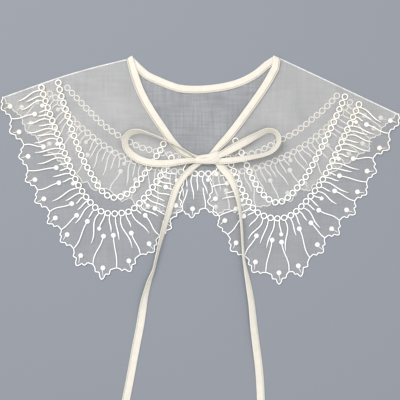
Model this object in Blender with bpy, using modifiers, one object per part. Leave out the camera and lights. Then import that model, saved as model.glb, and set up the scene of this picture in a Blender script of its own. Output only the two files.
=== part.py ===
"""A lace collar laid flat and tied in a bow: embroidered organza, folded once at each shoulder.

Frame: metres, +Z up. The collar lies on the plane z = 0, its back neck towards +Y, its bow and
its two long ties towards -Y. The origin is on that plane, under the middle of the collar.
All sizes and tables below are in millimetres.
"""
import math
from collections import namedtuple

import bmesh
import bpy
import numpy as np
from mathutils import Vector
from mathutils.geometry import delaunay_2d_cdt

MM = 0.001

# Cloth
CLOTH_WALL = 1.0
LAYER_GAP = 0.3
BACK_HEIGHT = CLOTH_WALL / 2
FRONT_HEIGHT = BACK_HEIGHT + CLOTH_WALL + LAYER_GAP
FOLD_STEPS = 4
DROP_CLEARANCE = 4.0
DROP_RUN = 12.0
DROP_STEPS = 4
CLOTH_GRID = 16.0
GRID_ROW_RATIO = 0.87
GRID_MARGIN = 5.0
LINE_TOLERANCE = 1e-5
WELD_DISTANCE = 1e-6
CLOTH_FINISH = ((0.80, 0.82, 0.86), 0.55)

# Neck binding and ties
BINDING_WALL = 1.6
BINDING_STEP = 6.0
SEAM_GAP = 0.3
SHOULDER_GAP = 1.2
SHOULDER_ROWS = 4
LEFT_NECK_ROWS_SHORT = 2
RIGHT_NECK_ROWS_SHORT = 1
BINDING_FINISH = ((0.93, 0.90, 0.78), 0.60)
TIE_WALL = 1.2
TIE_STEP = 6.0
LOOP_STEP = 5.0
FLOOR_GAP = 0.05

# Knot
KNOT_CENTRE = (6.9, 13.4)
KNOT_SIZE = (25.0, 13.0, 7.0)
KNOT_UNDERSIDE = 1.6
KNOT_ROUNDING = 3.0
KNOT_ROUNDING_STEPS = 3

# Embroidered rings
RING_PITCH = 8.6
RING_OUTER_RADIUS = 4.2
RING_HOLE_RADIUS = 2.6
RING_SIDE_ANGLES = (35, 90, 145)
RING_HOLE_SIDES = 6
RING_THICKNESS = 0.8
RING_LIFT = 0.4
RING_LINE_STEP = 1.0
THREAD_FINISH = ((0.95, 0.95, 0.94), 0.50)

# One row a scallop: the notch before it and the tip of it. A front's rows start at the shoulder
# fold and end at the bow, the back's run from the left shoulder to the right one.
Scallop = namedtuple("Scallop", "notch_x notch_y tip_x tip_y")

FRONT_LEFT_SCALLOPS = (
    Scallop(-245.6, 91.3, -247.9, 76.0),
    Scallop(-235.0, 63.8, -237.6, 47.0),
    Scallop(-219.6, 31.3, -226.5, 16.3),
    Scallop(-214.6, -1.0, -218.1, -13.8),
    Scallop(-202.6, -24.9, -206.3, -40.0),
    Scallop(-187.4, -52.0, -190.6, -66.3),
    Scallop(-172.9, -74.4, -174.4, -89.4),
    Scallop(-157.6, -98.3, -154.4, -119.4),
    Scallop(-133.5, -117.8, -122.8, -136.9),
    Scallop(-104.0, -122.1, -86.9, -127.0),
    Scallop(-74.5, -105.4, -57.5, -102.5),
    Scallop(-50.0, -81.9, -35.3, -72.5),
    Scallop(-36.6, -61.3, -21.3, -50.0),
    Scallop(-24.4, -28.8, -20.6, -17.5),
)
FRONT_LEFT_CORNER = (-16.3, 8.8)

FRONT_RIGHT_SCALLOPS = (
    Scallop(247.8, 70.0, 247.9, 56.5),
    Scallop(235.4, 45.6, 236.1, 25.9),
    Scallop(215.4, 14.4, 220.5, -2.9),
    Scallop(207.9, -15.0, 208.1, -30.5),
    Scallop(192.9, -38.5, 193.8, -55.3),
    Scallop(173.8, -63.1, 173.8, -80.8),
    Scallop(155.5, -84.8, 153.9, -103.0),
    Scallop(136.8, -109.4, 126.3, -133.1),
    Scallop(110.9, -127.0, 98.9, -142.9),
    Scallop(82.1, -127.8, 65.6, -127.8),
    Scallop(55.6, -106.9, 38.1, -100.6),
    Scallop(34.3, -80.3, 21.8, -68.8),
    Scallop(23.8, -57.5, 9.4, -40.0),
    Scallop(15.0, -21.3, 12.1, -7.5),
)
FRONT_RIGHT_CORNER = (21.5, 2.5)

BACK_SCALLOPS = (
    Scallop(-245.6, 91.3, -232.5, 73.8),
    Scallop(-222.5, 65.0, -217.5, 48.8),
    Scallop(-202.5, 38.8, -196.3, 25.0),
    Scallop(-181.3, 17.5, -170.0, 5.0),
    Scallop(-155.0, -5.0, -131.9, -25.6),
    Scallop(-112.5, -25.0, -97.5, -39.4),
    Scallop(-86.3, -35.0, -72.5, -50.6),
    Scallop(-55.0, -45.6, -38.8, -57.5),
    Scallop(-21.9, -50.0, -10.4, -60.1),
    Scallop(6.9, -47.5, 20.0, -57.5),
    Scallop(36.3, -49.4, 54.4, -55.0),
    Scallop(70.0, -45.6, 85.0, -45.0),
    Scallop(98.8, -37.5, 113.8, -39.4),
    Scallop(126.3, -23.8, 136.3, -26.3),
    Scallop(155.0, -8.8, 171.3, 0.0),
    Scallop(181.3, 7.5, 193.8, 12.5),
    Scallop(198.8, 20.0, 211.9, 25.0),
    Scallop(212.5, 39.4, 225.6, 44.4),
    Scallop(226.9, 52.5, 236.3, 60.0),
)

# The two ends of the line outside the back's edge from which the fronts come down to the floor
DROP_START = (-262.0, 80.0)
DROP_END = (262.0, 62.0)

# The small teeth up the two sides of a scallop, as shares of that side's length
Tooth = namedtuple("Tooth", "along out")
RISE_TEETH = (
    Tooth(0.00, 0.00),
    Tooth(0.24, 0.00),
    Tooth(0.43, 0.10),
    Tooth(0.56, -0.09),
    Tooth(0.82, 0.01),
)
FALL_TEETH = (
    Tooth(0.00, 0.00),
    Tooth(0.32, -0.13),
    Tooth(0.51, 0.03),
    Tooth(0.66, -0.11),
    Tooth(0.86, 0.00),
)

# Shoulder folds, neck end first. The last point of each is also where the scallops start.
LEFT_FOLD = ((-92.4, 138.3), (-136.0, 127.5), (-178.3, 115.0), (-245.6, 91.3))
RIGHT_FOLD = ((101.0, 139.1), (138.5, 121.6), (175.4, 104.2), (247.8, 70.0))

# Ends of the binding's fold at each shoulder: its neck side, then its cloth side
LEFT_BINDING_FOLD = ((-84.8, 142.9), (-92.4, 138.3))
RIGHT_BINDING_FOLD = ((91.5, 143.1), (101.0, 138.9))

# Middle line and width of the binding: down each front from the shoulder to the knot, where it
# is drawn together, and along the back of the neck from the left shoulder to the right one
BindingPoint = namedtuple("BindingPoint", "x y width")

LEFT_BINDING = (
    BindingPoint(-82.3, 120.4, 10.0),
    BindingPoint(-74.0, 97.5, 10.0),
    BindingPoint(-61.8, 75.0, 10.0),
    BindingPoint(-45.4, 50.4, 10.0),
    BindingPoint(-34.5, 35.0, 9.6),
    BindingPoint(-22.0, 22.5, 8.6),
    BindingPoint(-7.2, 15.4, 7.6),
)
RIGHT_BINDING = (
    BindingPoint(94.0, 127.0, 10.0),
    BindingPoint(80.5, 103.3, 10.0),
    BindingPoint(56.3, 68.8, 10.0),
    BindingPoint(37.3, 43.8, 10.0),
    BindingPoint(26.5, 32.0, 9.0),
    BindingPoint(16.8, 21.2, 7.6),
)
BACK_BINDING = (
    BindingPoint(-76.4, 126.8, 9.6),
    BindingPoint(-66.0, 118.1, 9.6),
    BindingPoint(-53.4, 112.0, 9.6),
    BindingPoint(-37.5, 105.5, 9.6),
    BindingPoint(-22.8, 101.4, 9.6),
    BindingPoint(0.0, 100.5, 9.6),
    BindingPoint(27.5, 103.4, 9.6),
    BindingPoint(50.0, 109.4, 9.6),
    BindingPoint(68.8, 119.1, 9.6),
    BindingPoint(84.0, 131.5, 9.6),
)

# Ribbon stations: where its middle lies, the height of its lowest edge, how many degrees it
# leans over (positive lifts the edge on its right), and its width, gathered at the knot
Station = namedtuple("Station", "x y under lean width")

LEFT_LOOP = (
    Station(-6.3, 16.6, 3.4, 85, 4.6),
    Station(-18.8, 24.4, 3.5, 84, 6.0),
    Station(-30.0, 30.0, 3.8, 83, 8.0),
    Station(-42.8, 36.4, 3.9, 82, 9.5),
    Station(-62.5, 43.9, 3.6, 78, 10.0),
    Station(-75.0, 47.4, 2.8, 64, 10.0),
    Station(-85.6, 45.8, 2.8, 52, 10.0),
    Station(-92.0, 39.0, 2.8, 45, 10.0),
    Station(-92.2, 29.6, 2.8, 40, 10.0),
    Station(-86.0, 20.0, 3.0, 28, 10.0),
    Station(-73.8, 12.1, 3.6, 16, 10.0),
    Station(-58.1, 8.2, 4.1, 10, 9.4),
    Station(-40.0, 7.9, 4.1, 6, 9.0),
    Station(-25.0, 10.0, 4.1, 2, 8.0),
    Station(-13.0, 11.4, 4.1, 0, 7.0),
    Station(-6.2, 11.6, 4.1, 0, 6.6),
)
RIGHT_LOOP = (
    Station(20.0, 16.3, 6.1, -4, 6.6),
    Station(31.3, 21.6, 6.1, -6, 9.0),
    Station(45.0, 29.0, 5.6, -10, 10.0),
    Station(60.0, 36.9, 4.6, -24, 10.0),
    Station(69.5, 42.0, 3.6, -41, 10.0),
    Station(84.0, 48.4, 3.0, -56, 10.0),
    Station(95.0, 44.8, 2.8, -62, 10.0),
    Station(97.4, 34.4, 2.8, -62, 10.0),
    Station(91.6, 25.2, 2.8, -60, 10.0),
    Station(80.9, 19.3, 3.2, -60, 10.0),
    Station(61.9, 15.2, 4.0, -52, 10.0),
    Station(39.2, 11.7, 4.3, -30, 9.4),
    Station(28.0, 10.8, 4.5, -8, 8.0),
    Station(20.0, 10.2, 4.5, 0, 6.6),
)
LEFT_TIE = (
    Station(-4.3, 6.3, 2.0, 0, 6.4),
    Station(-6.6, 4.6, 2.1, 0, 6.6),
    Station(-12.6, -0.2, 2.6, 0, 7.2),
    Station(-19.4, -7.5, 2.8, 0, 7.6),
    Station(-27.5, -18.8, 2.8, 4, 8.0),
    Station(-33.3, -33.8, 2.8, 14, 8.2),
    Station(-39.4, -55.0, 3.0, 28, 8.0),
    Station(-46.4, -78.3, 1.5, 44, 8.0),
    Station(-51.1, -96.3, 1.4, 62, 7.0),
    Station(-55.7, -115.5, 0.2, 68, 6.5),
    Station(-57.8, -124.5, 0.0, 64, 6.5),
    Station(-63.0, -138.5, 0.0, 48, 8.0),
    Station(-68.6, -158.9, 0.0, 30, 9.0),
    Station(-71.5, -174.3, 0.0, 14, 9.8),
    Station(-75.0, -195.9, 0.0, 2, 10.0),
    Station(-78.8, -215.0, 0.0, 0, 10.0),
    Station(-83.1, -238.0, 0.0, 0, 10.0),
    Station(-88.3, -266.1, 0.0, 0, 10.0),
    Station(-92.5, -287.5, 0.0, 0, 10.0),
    Station(-98.1, -317.5, 0.0, 0, 10.0),
)
RIGHT_TIE = (
    Station(21.7, 9.8, 2.6, 0, 8.6),
    Station(23.4, 7.7, 2.6, 0, 8.8),
    Station(28.4, 1.6, 3.0, 0, 9.6),
    Station(34.9, -6.3, 3.9, 4, 9.4),
    Station(39.0, -12.8, 3.9, 10, 9.0),
    Station(42.6, -20.9, 3.9, 25, 8.5),
    Station(46.6, -34.3, 3.8, 46, 8.0),
    Station(49.6, -51.5, 3.2, 60, 7.5),
    Station(51.6, -70.6, 2.4, 65, 7.0),
    Station(52.9, -89.8, 1.5, 66, 7.0),
    Station(54.2, -108.9, 1.4, 64, 7.0),
    Station(55.9, -119.5, 1.4, 58, 7.2),
    Station(58.1, -131.6, 0.6, 45, 8.0),
    Station(61.4, -148.8, 0.0, 34, 9.0),
    Station(64.5, -169.1, 0.0, 28, 9.5),
    Station(67.1, -195.9, 0.0, 22, 10.0),
    Station(70.3, -221.4, 0.0, 14, 10.0),
    Station(73.5, -247.0, 0.0, 6, 10.0),
    Station(75.4, -272.5, 0.0, 0, 10.0),
    Station(76.0, -287.5, 0.0, 0, 10.0),
    Station(78.1, -317.5, 0.0, 0, 10.0),
)

# Middle lines of the ring chains on the fronts, from the shoulder round to the bow
RING_CHAINS = {
    "ring_chain_left_outer": (
        (-197.4, 102.4), (-195.6, 95.3), (-183.8, 61.3), (-168.1, 20.0), (-151.9, -18.1),
        (-132.5, -45.0), (-117.8, -53.3), (-100.4, -54.0), (-82.9, -48.5), (-59.8, -22.8), (-35.5, 15.0),
    ),
    "ring_chain_left_inner": (
        (-176.5, 108.5), (-173.8, 96.0), (-167.5, 75.6), (-159.4, 50.0), (-147.5, 17.5),
        (-135.9, -4.4), (-124.0, -24.1), (-110.0, -34.0), (-93.1, -31.0), (-79.6, -19.6), (-51.0, 22.0),
        (-45.6, 32.2),
    ),
    "ring_chain_right_outer": (
        (197.9, 81.5), (178.8, 40.0), (155.9, -6.5), (142.1, -27.3), (125.0, -46.9),
        (111.6, -57.5), (94.4, -60.4), (76.9, -56.0), (63.8, -44.4), (47.5, -14.4), (35.5, 14.5),
    ),
    "ring_chain_right_inner": (
        (180.5, 91.0), (158.5, 42.5), (135.0, -3.1), (119.8, -23.8), (107.9, -35.6),
        (96.3, -40.6), (84.0, -35.4), (72.5, -22.5), (64.0, -7.5), (47.5, 31.5), (44.4, 36.2),
    ),
}


def smooth_rows(rows, step):
    """Rows read off a Catmull-Rom curve through the given rows, about step apart in plan."""
    rows = np.array(rows, float)
    padded = np.vstack((2 * rows[0] - rows[1], rows, 2 * rows[-1] - rows[-2]))
    out = []
    for before, start, end, after in zip(padded, padded[1:], padded[2:], padded[3:]):
        count = max(1, round(math.dist(start[:2], end[:2]) / step))
        for share in np.arange(count) / count:
            out.append(0.5 * (2 * start + (end - before) * share
                              + (2 * before - 5 * start + 4 * end - after) * share ** 2
                              + (3 * start - before - 3 * end + after) * share ** 3))
    out.append(rows[-1])
    return np.array(out)


def plan_directions(points):
    """Unit directions along a line of points seen from above."""
    ahead = np.gradient(np.asarray(points, float)[:, :2], axis=0)
    return ahead / np.linalg.norm(ahead, axis=1)[:, None]


def right_hand(directions):
    """Directions turned a quarter turn to the right, seen from above."""
    return np.stack((directions[:, 1], -directions[:, 0]), axis=1)


def scalloped_edge(scallops, end, outer_hand):
    """Edge points from the first notch to the end, with outer_hand 1 where the right is outside."""
    notches = [Vector(row[:2]) for row in scallops] + [Vector(end)]
    points = []
    for row, notch, next_notch in zip(scallops, notches, notches[1:]):
        tip = Vector(row[2:])
        rise, fall = tip - notch, next_notch - tip
        rise_out = Vector((rise.y, -rise.x)) * outer_hand
        fall_out = Vector((fall.y, -fall.x)) * outer_hand
        points += [notch + rise * tooth.along + rise_out * tooth.out for tooth in RISE_TEETH]
        points.append(tip)
        points += [next_notch - fall * tooth.along + fall_out * tooth.out
                   for tooth in reversed(FALL_TEETH[1:])]
    points.append(notches[-1])
    return points


def inset_fold(fold, outward_hand, half_roll):
    """A fold line moved in, so that the roll of the fold reaches out to the line again."""
    line = np.array(fold, float)
    outward = right_hand(plan_directions(line)) * outward_hand
    return line - outward * half_roll, outward


def drop_line():
    """The line just outside the back's tips where a front starts to come down, and its normals."""
    tips = np.array([row[2:] for row in BACK_SCALLOPS])
    outward = right_hand(plan_directions(tips))
    line = tips + outward * DROP_CLEARANCE
    line = smooth_rows(np.vstack((DROP_START, line, DROP_END)), CLOTH_GRID)
    return line, right_hand(plan_directions(line))


DROP_LINE, DROP_OUTWARD = drop_line()


def front_height(x, y):
    """Height of a front's middle surface: over the back, or down on the floor outside it."""
    offsets = np.array((x, y)) - DROP_LINE
    nearest = int(np.argmin((offsets ** 2).sum(axis=1)))
    outside = float(offsets[nearest] @ DROP_OUTWARD[nearest])
    share = min(max(outside / DROP_RUN, 0.0), 1.0)
    return FRONT_HEIGHT - (FRONT_HEIGHT - BACK_HEIGHT) * share * share * (3 - 2 * share)


def grid_inside(outline):
    """Points of a staggered grid that lie well inside an outline."""
    corners = np.array([tuple(point) for point in outline])
    low, high = corners.min(axis=0), corners.max(axis=0)
    row_step = CLOTH_GRID * GRID_ROW_RATIO
    rows = int((high[1] - low[1]) / row_step)
    columns = int((high[0] - low[0]) / CLOTH_GRID)
    starts, ends = corners, np.roll(corners, -1, axis=0)
    spans = ends - starts
    kept = []
    for row in range(1, rows + 1):
        for column in range(columns + 1):
            point = low + np.array((CLOTH_GRID * (column + 0.5 * (row % 2)), row_step * row))
            shares = np.clip(((point - starts) * spans).sum(axis=1) / (spans ** 2).sum(axis=1), 0, 1)
            gap = np.linalg.norm(starts + spans * shares[:, None] - point, axis=1).min()
            crosses = (starts[:, 1] > point[1]) != (ends[:, 1] > point[1])
            rising = np.where(spans[:, 1] == 0, 1.0, spans[:, 1])
            reach = starts[:, 0] + spans[:, 0] * (point[1] - starts[:, 1]) / rising
            if gap > GRID_MARGIN and (crosses & (reach > point[0])).sum() % 2 == 1:
                kept.append(Vector(point))
    return kept


def fill_outline(outline, lines=(), loose=()):
    """Triangles inside an outline that keep to some lines and use some loose points."""
    points = [Vector(point) for point in outline]
    edges = []
    for line in lines:
        first = len(points)
        points += [Vector(point) for point in line]
        edges += [(first + i, first + i + 1) for i in range(len(line) - 1)]
    points += loose
    result = delaunay_2d_cdt(points, edges, [list(range(len(outline)))], 1, LINE_TOLERANCE)
    return [tuple(point) for point in result[0]], result[2]


def finish_object(name, mesh_data, collection, finish):
    """An object with its own material, linked into the collection."""
    material = bpy.data.materials.new(name + "_finish")
    material.use_nodes = True
    shader = material.node_tree.nodes["Principled BSDF"]
    colour, roughness = finish
    shader.inputs["Base Color"].default_value = (*colour, 1.0)
    shader.inputs["Roughness"].default_value = roughness
    shader.inputs["Metallic"].default_value = 0.0
    mesh_data.materials.append(material)
    piece = bpy.data.objects.new(name, mesh_data)
    collection.objects.link(piece)
    return piece


def add_sheet(name, points, faces, wall, collection, finish):
    """A cloth wall on an open surface whose points are in millimetres."""
    mesh_data = bpy.data.meshes.new(name)
    mesh_data.from_pydata([Vector(point) * MM for point in points], [], [list(face) for face in faces])
    shape = bmesh.new()
    shape.from_mesh(mesh_data)
    unused = [vert for vert in shape.verts if not vert.link_faces]
    bmesh.ops.delete(shape, geom=unused, context="VERTS")
    bmesh.ops.remove_doubles(shape, verts=shape.verts, dist=WELD_DISTANCE)
    bmesh.ops.recalc_face_normals(shape, faces=shape.faces)
    shape.to_mesh(mesh_data)
    shape.free()
    piece = finish_object(name, mesh_data, collection, finish)
    thicken = piece.modifiers.new("Wall", "SOLIDIFY")
    thicken.thickness = wall * MM
    thicken.offset = 0.0
    return piece


def fold_roll(base, outward, low, high, steps):
    """Rows of points that carry a surface round a fold, from its lower to its upper layer."""
    radius = (high - low) / 2
    rows = []
    for step in range(steps + 1):
        turn = math.pi * step / steps
        reach = base + outward * radius * math.sin(turn)
        height = (low + high) / 2 - radius * math.cos(turn)
        rows.append([(x, y, height) for x, y in reach])
    return rows


def rows_to_faces(rows, first):
    """Quads between rows of points that are numbered one row after another from first."""
    width = len(rows[0])
    faces = []
    for row in range(len(rows) - 1):
        start = first + row * width
        faces += [(start + i, start + i + 1, start + width + i + 1, start + width + i)
                  for i in range(width - 1)]
    return faces


def binding_run(middle, neck_hand):
    """Neck-side and cloth-side edges of a run of binding, with neck_hand 1 for its right side."""
    rows = smooth_rows(middle, BINDING_STEP)
    across = right_hand(plan_directions(rows)) * neck_hand * rows[:, 2:] / 2
    return rows[:, :2] + across, rows[:, :2] - across


LEFT_NECK_SIDE, LEFT_CLOTH_SIDE = binding_run(LEFT_BINDING, -1)
RIGHT_NECK_SIDE, RIGHT_CLOTH_SIDE = binding_run(RIGHT_BINDING, 1)
BACK_NECK_SIDE, BACK_CLOTH_SIDE = binding_run(BACK_BINDING, -1)


def seam_line(cloth_side, neck_side):
    """The cloth's own edge beside a run of binding."""
    away = cloth_side - neck_side
    return cloth_side + away / np.linalg.norm(away, axis=1)[:, None] * SEAM_GAP


def build_cloth(collection):
    """The organza: back panel, shoulder folds and both fronts, as one wall."""
    roll = (FRONT_HEIGHT - BACK_HEIGHT) / 2 + CLOTH_WALL / 2
    left_fold, left_outward = inset_fold(smooth_rows(LEFT_FOLD, CLOTH_GRID), 1, roll)
    right_fold, right_outward = inset_fold(smooth_rows(RIGHT_FOLD, CLOTH_GRID), -1, roll)
    for fold in (left_fold, right_fold):
        along = (fold[1] - fold[0]) / np.linalg.norm(fold[1] - fold[0])
        fold[0] += along * SHOULDER_GAP

    def starting_at(scallops, corner):
        first = scallops[0]._replace(notch_x=corner[0], notch_y=corner[1])
        return (first, *scallops[1:])

    left_edge = scalloped_edge(starting_at(FRONT_LEFT_SCALLOPS, left_fold[-1]), FRONT_LEFT_CORNER, 1)
    right_edge = scalloped_edge(starting_at(FRONT_RIGHT_SCALLOPS, right_fold[-1]), FRONT_RIGHT_CORNER, -1)
    back_edge = scalloped_edge(starting_at(BACK_SCALLOPS, left_fold[-1]), tuple(right_fold[-1]), 1)

    left_neck = seam_line(LEFT_CLOTH_SIDE, LEFT_NECK_SIDE)[:-LEFT_NECK_ROWS_SHORT]
    right_neck = seam_line(RIGHT_CLOTH_SIDE, RIGHT_NECK_SIDE)[:-RIGHT_NECK_ROWS_SHORT]
    back_neck = seam_line(BACK_CLOTH_SIDE, BACK_NECK_SIDE)

    left_outline = [*left_edge, *left_neck[::-1], *left_fold[:-1]]
    right_outline = [*right_edge, *right_neck[::-1], *right_fold[:-1]]
    back_outline = [*back_edge, *right_fold[-2::-1], *back_neck[::-1], *left_fold[:-1]]
    steps_down = [DROP_LINE + DROP_OUTWARD * DROP_RUN * step / DROP_STEPS
                  for step in range(DROP_STEPS + 1)]

    points, faces = [], []
    for outline, lines, layer in ((back_outline, (), None), (left_outline, steps_down, front_height),
                                  (right_outline, steps_down, front_height)):
        flat, triangles = fill_outline(outline, lines, grid_inside(outline))
        first = len(points)
        points += [(x, y, layer(x, y) if layer else BACK_HEIGHT) for x, y in flat]
        faces += [[first + corner for corner in triangle] for triangle in triangles]
    for base, outward in ((left_fold, left_outward), (right_fold, right_outward)):
        rows = fold_roll(base, outward, BACK_HEIGHT, FRONT_HEIGHT, FOLD_STEPS)
        faces += rows_to_faces(rows, len(points))
        points += [point for row in rows for point in row]
    add_sheet("collar_cloth", points, faces, CLOTH_WALL, collection, CLOTH_FINISH)


def build_binding(collection):
    """The bias strip round the neck: one front, the back and the other front, with its two folds."""
    low = BINDING_WALL / 2
    front = CLOTH_WALL + LAYER_GAP + BINDING_WALL / 2
    high = low + BINDING_WALL + LAYER_GAP
    roll = (high - low) / 2 + BINDING_WALL / 2
    stations = []

    def front_run(neck_side, cloth_side):
        run = []
        for index, (neck, cloth) in enumerate(zip(neck_side, cloth_side)):
            height = max(front, high - (high - front) * index / SHOULDER_ROWS)
            run.append([(*neck, height), (*cloth, height)])
        return run

    def shoulder(fold, outward_hand):
        ends = np.array(fold, float)
        outward = right_hand(plan_directions(ends)) * outward_hand
        return fold_roll(ends - outward * roll, outward, low, high, FOLD_STEPS)

    stations += front_run(LEFT_NECK_SIDE, LEFT_CLOTH_SIDE)[::-1]
    stations += shoulder(LEFT_BINDING_FOLD, 1)[::-1]
    stations += [[(*neck, low), (*cloth, low)] for neck, cloth in zip(BACK_NECK_SIDE, BACK_CLOTH_SIDE)]
    stations += shoulder(RIGHT_BINDING_FOLD, -1)
    stations += front_run(RIGHT_NECK_SIDE, RIGHT_CLOTH_SIDE)
    points = [point for station in stations for point in station]
    faces = rows_to_faces(stations, 0)
    add_sheet("neck_binding", points, faces, BINDING_WALL, collection, BINDING_FINISH)


def add_ribbon(name, table, step, collection):
    """A tie or a loop of the bow: a flat ribbon that leans over as its stations say."""
    rows = smooth_rows(table, step)
    lean = np.radians(rows[:, 3])
    half = rows[:, 4] / 2
    under = np.maximum(rows[:, 2], FLOOR_GAP)
    middle = under + half * np.abs(np.sin(lean)) + TIE_WALL / 2 * np.cos(lean)
    across = right_hand(plan_directions(rows)) * (half * np.cos(lean))[:, None]
    rise = half * np.sin(lean)
    stations = [[(*(centre - side), height - up), (*(centre + side), height + up)]
                for centre, side, height, up in zip(rows[:, :2], across, middle, rise)]
    points = [point for station in stations for point in station]
    add_sheet(name, points, rows_to_faces(stations, 0), TIE_WALL, collection, BINDING_FINISH)


def build_knot(collection):
    """The knot of the bow: a small pillow of wrapped tie."""
    shape = bmesh.new()
    bmesh.ops.create_cube(shape, size=1.0)
    middle = (*KNOT_CENTRE, KNOT_UNDERSIDE + KNOT_SIZE[2] / 2)
    for corner in shape.verts:
        corner.co = [(centre + share * size) * MM
                     for centre, share, size in zip(middle, corner.co, KNOT_SIZE)]
    mesh_data = bpy.data.meshes.new("bow_knot")
    shape.to_mesh(mesh_data)
    shape.free()
    piece = finish_object("bow_knot", mesh_data, collection, BINDING_FINISH)
    rounding = piece.modifiers.new("Rounding", "BEVEL")
    rounding.width = KNOT_ROUNDING * MM
    rounding.segments = KNOT_ROUNDING_STEPS
    mesh_data.shade_smooth()


def ring_centres(middle_line):
    """Ring centres at an even pitch along a chain's middle line, and the directions there."""
    line = smooth_rows(middle_line, RING_LINE_STEP)
    lengths = np.concatenate(((0.0,), np.cumsum(np.linalg.norm(np.diff(line, axis=0), axis=1))))
    count = round(lengths[-1] / RING_PITCH)
    stops = np.linspace(0.0, lengths[-1], count + 1)
    centres = np.stack([np.interp(stops, lengths, line[:, axis]) for axis in (0, 1)], axis=1)
    return centres, plan_directions(centres)


def build_ring_chain(name, middle_line, collection):
    """One chain of embroidered rings, raised a little off the front that carries it."""
    centres, ahead = ring_centres(middle_line)

    def around(index, radius, degrees):
        angle = math.radians(degrees)
        direction = ahead[index]
        sideways = np.array((-direction[1], direction[0]))
        return centres[index] + radius * (direction * math.cos(angle) + sideways * math.sin(angle))

    order = range(len(centres))
    last = order[-1]
    near_side = [around(i, RING_OUTER_RADIUS, a - 180) for i in order for a in RING_SIDE_ANGLES]
    far_side = [around(i, RING_OUTER_RADIUS, a) for i in reversed(order) for a in RING_SIDE_ANGLES]
    near_end, far_end = around(0, RING_OUTER_RADIUS, 180), around(last, RING_OUTER_RADIUS, 0)
    turn = 360 / RING_HOLE_SIDES
    holes = [[around(i, RING_HOLE_RADIUS, turn * side) for side in range(RING_HOLE_SIDES + 1)]
             for i in order]
    flat, triangles = fill_outline([near_end, *near_side, far_end, *far_side], holes)
    hole_reach = RING_HOLE_RADIUS * math.cos(math.radians(turn / 2))
    kept = []
    for triangle in triangles:
        middle = np.mean([flat[corner] for corner in triangle], axis=0)
        if np.linalg.norm(centres - middle, axis=1).min() > hole_reach:
            kept.append(triangle)
    lift = CLOTH_WALL / 2 + RING_LIFT + RING_THICKNESS / 2
    points = [(x, y, front_height(x, y) + lift) for x, y in flat]
    add_sheet(name, points, kept, RING_THICKNESS, collection, THREAD_FINISH)


for old in list(bpy.data.objects):
    bpy.data.objects.remove(old, do_unlink=True)
collar = bpy.data.collections.new("lace_collar")
bpy.context.scene.collection.children.link(collar)

build_cloth(collar)
build_binding(collar)
build_knot(collar)
add_ribbon("bow_loop_left", LEFT_LOOP, LOOP_STEP, collar)
add_ribbon("bow_loop_right", RIGHT_LOOP, LOOP_STEP, collar)
add_ribbon("tie_end_left", LEFT_TIE, TIE_STEP, collar)
add_ribbon("tie_end_right", RIGHT_TIE, TIE_STEP, collar)
for chain_name, chain_line in RING_CHAINS.items():
    build_ring_chain(chain_name, chain_line, collar)
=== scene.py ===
import math
from collections import namedtuple

import bmesh
import bpy
import numpy as np
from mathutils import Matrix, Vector
from mathutils.geometry import delaunay_2d_cdt


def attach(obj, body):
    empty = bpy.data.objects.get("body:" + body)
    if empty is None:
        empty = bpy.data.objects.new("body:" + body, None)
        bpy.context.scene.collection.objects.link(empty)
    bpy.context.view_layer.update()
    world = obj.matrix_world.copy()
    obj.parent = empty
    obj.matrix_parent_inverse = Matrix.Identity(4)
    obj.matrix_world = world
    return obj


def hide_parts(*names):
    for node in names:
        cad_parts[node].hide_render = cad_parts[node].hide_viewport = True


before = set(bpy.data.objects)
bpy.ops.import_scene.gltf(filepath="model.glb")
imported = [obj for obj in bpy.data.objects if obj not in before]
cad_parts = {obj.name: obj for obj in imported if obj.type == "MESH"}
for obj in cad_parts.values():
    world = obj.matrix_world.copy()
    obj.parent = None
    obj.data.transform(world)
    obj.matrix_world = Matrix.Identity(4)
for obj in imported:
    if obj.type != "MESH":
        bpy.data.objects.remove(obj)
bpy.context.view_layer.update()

# The room: a plain mid-grey floor, two big soft lights overhead and a camera that looks straight
# down, as the photo does. None of it is part of the collar.
FLOOR_SIZE = 3.0
FLOOR_COLOUR = (0.225, 0.24, 0.268)
CAMERA_HEIGHT = 0.8
CAMERA_OVER = (0.0, -0.0375)
VIEW_WIDTH = 0.5
SENSOR_WIDTH = 36.0
DAYLIGHT_COLOUR = (0.97, 0.98, 1.0)
DAYLIGHT_STRENGTH = 0.73
Light = namedtuple("Light", "name place size power")
LIGHTS = (
    Light("window_light", (-0.9, 0.9, 1.5), 1.2, 25.0),
    Light("ceiling_light", (0.5, -0.3, 1.9), 1.6, 17.0),
)

bpy.ops.mesh.primitive_plane_add(size=FLOOR_SIZE, location=(0, 0, 0))
floor = bpy.context.active_object
floor.name = "floor"
floor_paint = bpy.data.materials.new("floor_paint")
floor_paint.use_nodes = True
floor_shader = floor_paint.node_tree.nodes["Principled BSDF"]
floor_shader.inputs["Base Color"].default_value = (*FLOOR_COLOUR, 1)
floor_shader.inputs["Roughness"].default_value = 0.9
floor_shader.inputs["Specular IOR Level"].default_value = 0.1
floor.data.materials.append(floor_paint)

camera_data = bpy.data.cameras.new("camera")
camera_data.sensor_width = SENSOR_WIDTH
camera_data.lens = SENSOR_WIDTH * CAMERA_HEIGHT / VIEW_WIDTH
camera = bpy.data.objects.new("camera", camera_data)
camera.location = (*CAMERA_OVER, CAMERA_HEIGHT)
bpy.context.scene.collection.objects.link(camera)
bpy.context.scene.camera = camera

for light in LIGHTS:
    lamp = bpy.data.lights.new(light.name, "AREA")
    lamp.size = light.size
    lamp.energy = light.power
    lamp_object = bpy.data.objects.new(light.name, lamp)
    lamp_object.location = light.place
    lamp_object.rotation_euler = (-Vector(light.place)).to_track_quat("-Z", "Y").to_euler()
    bpy.context.scene.collection.objects.link(lamp_object)

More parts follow.
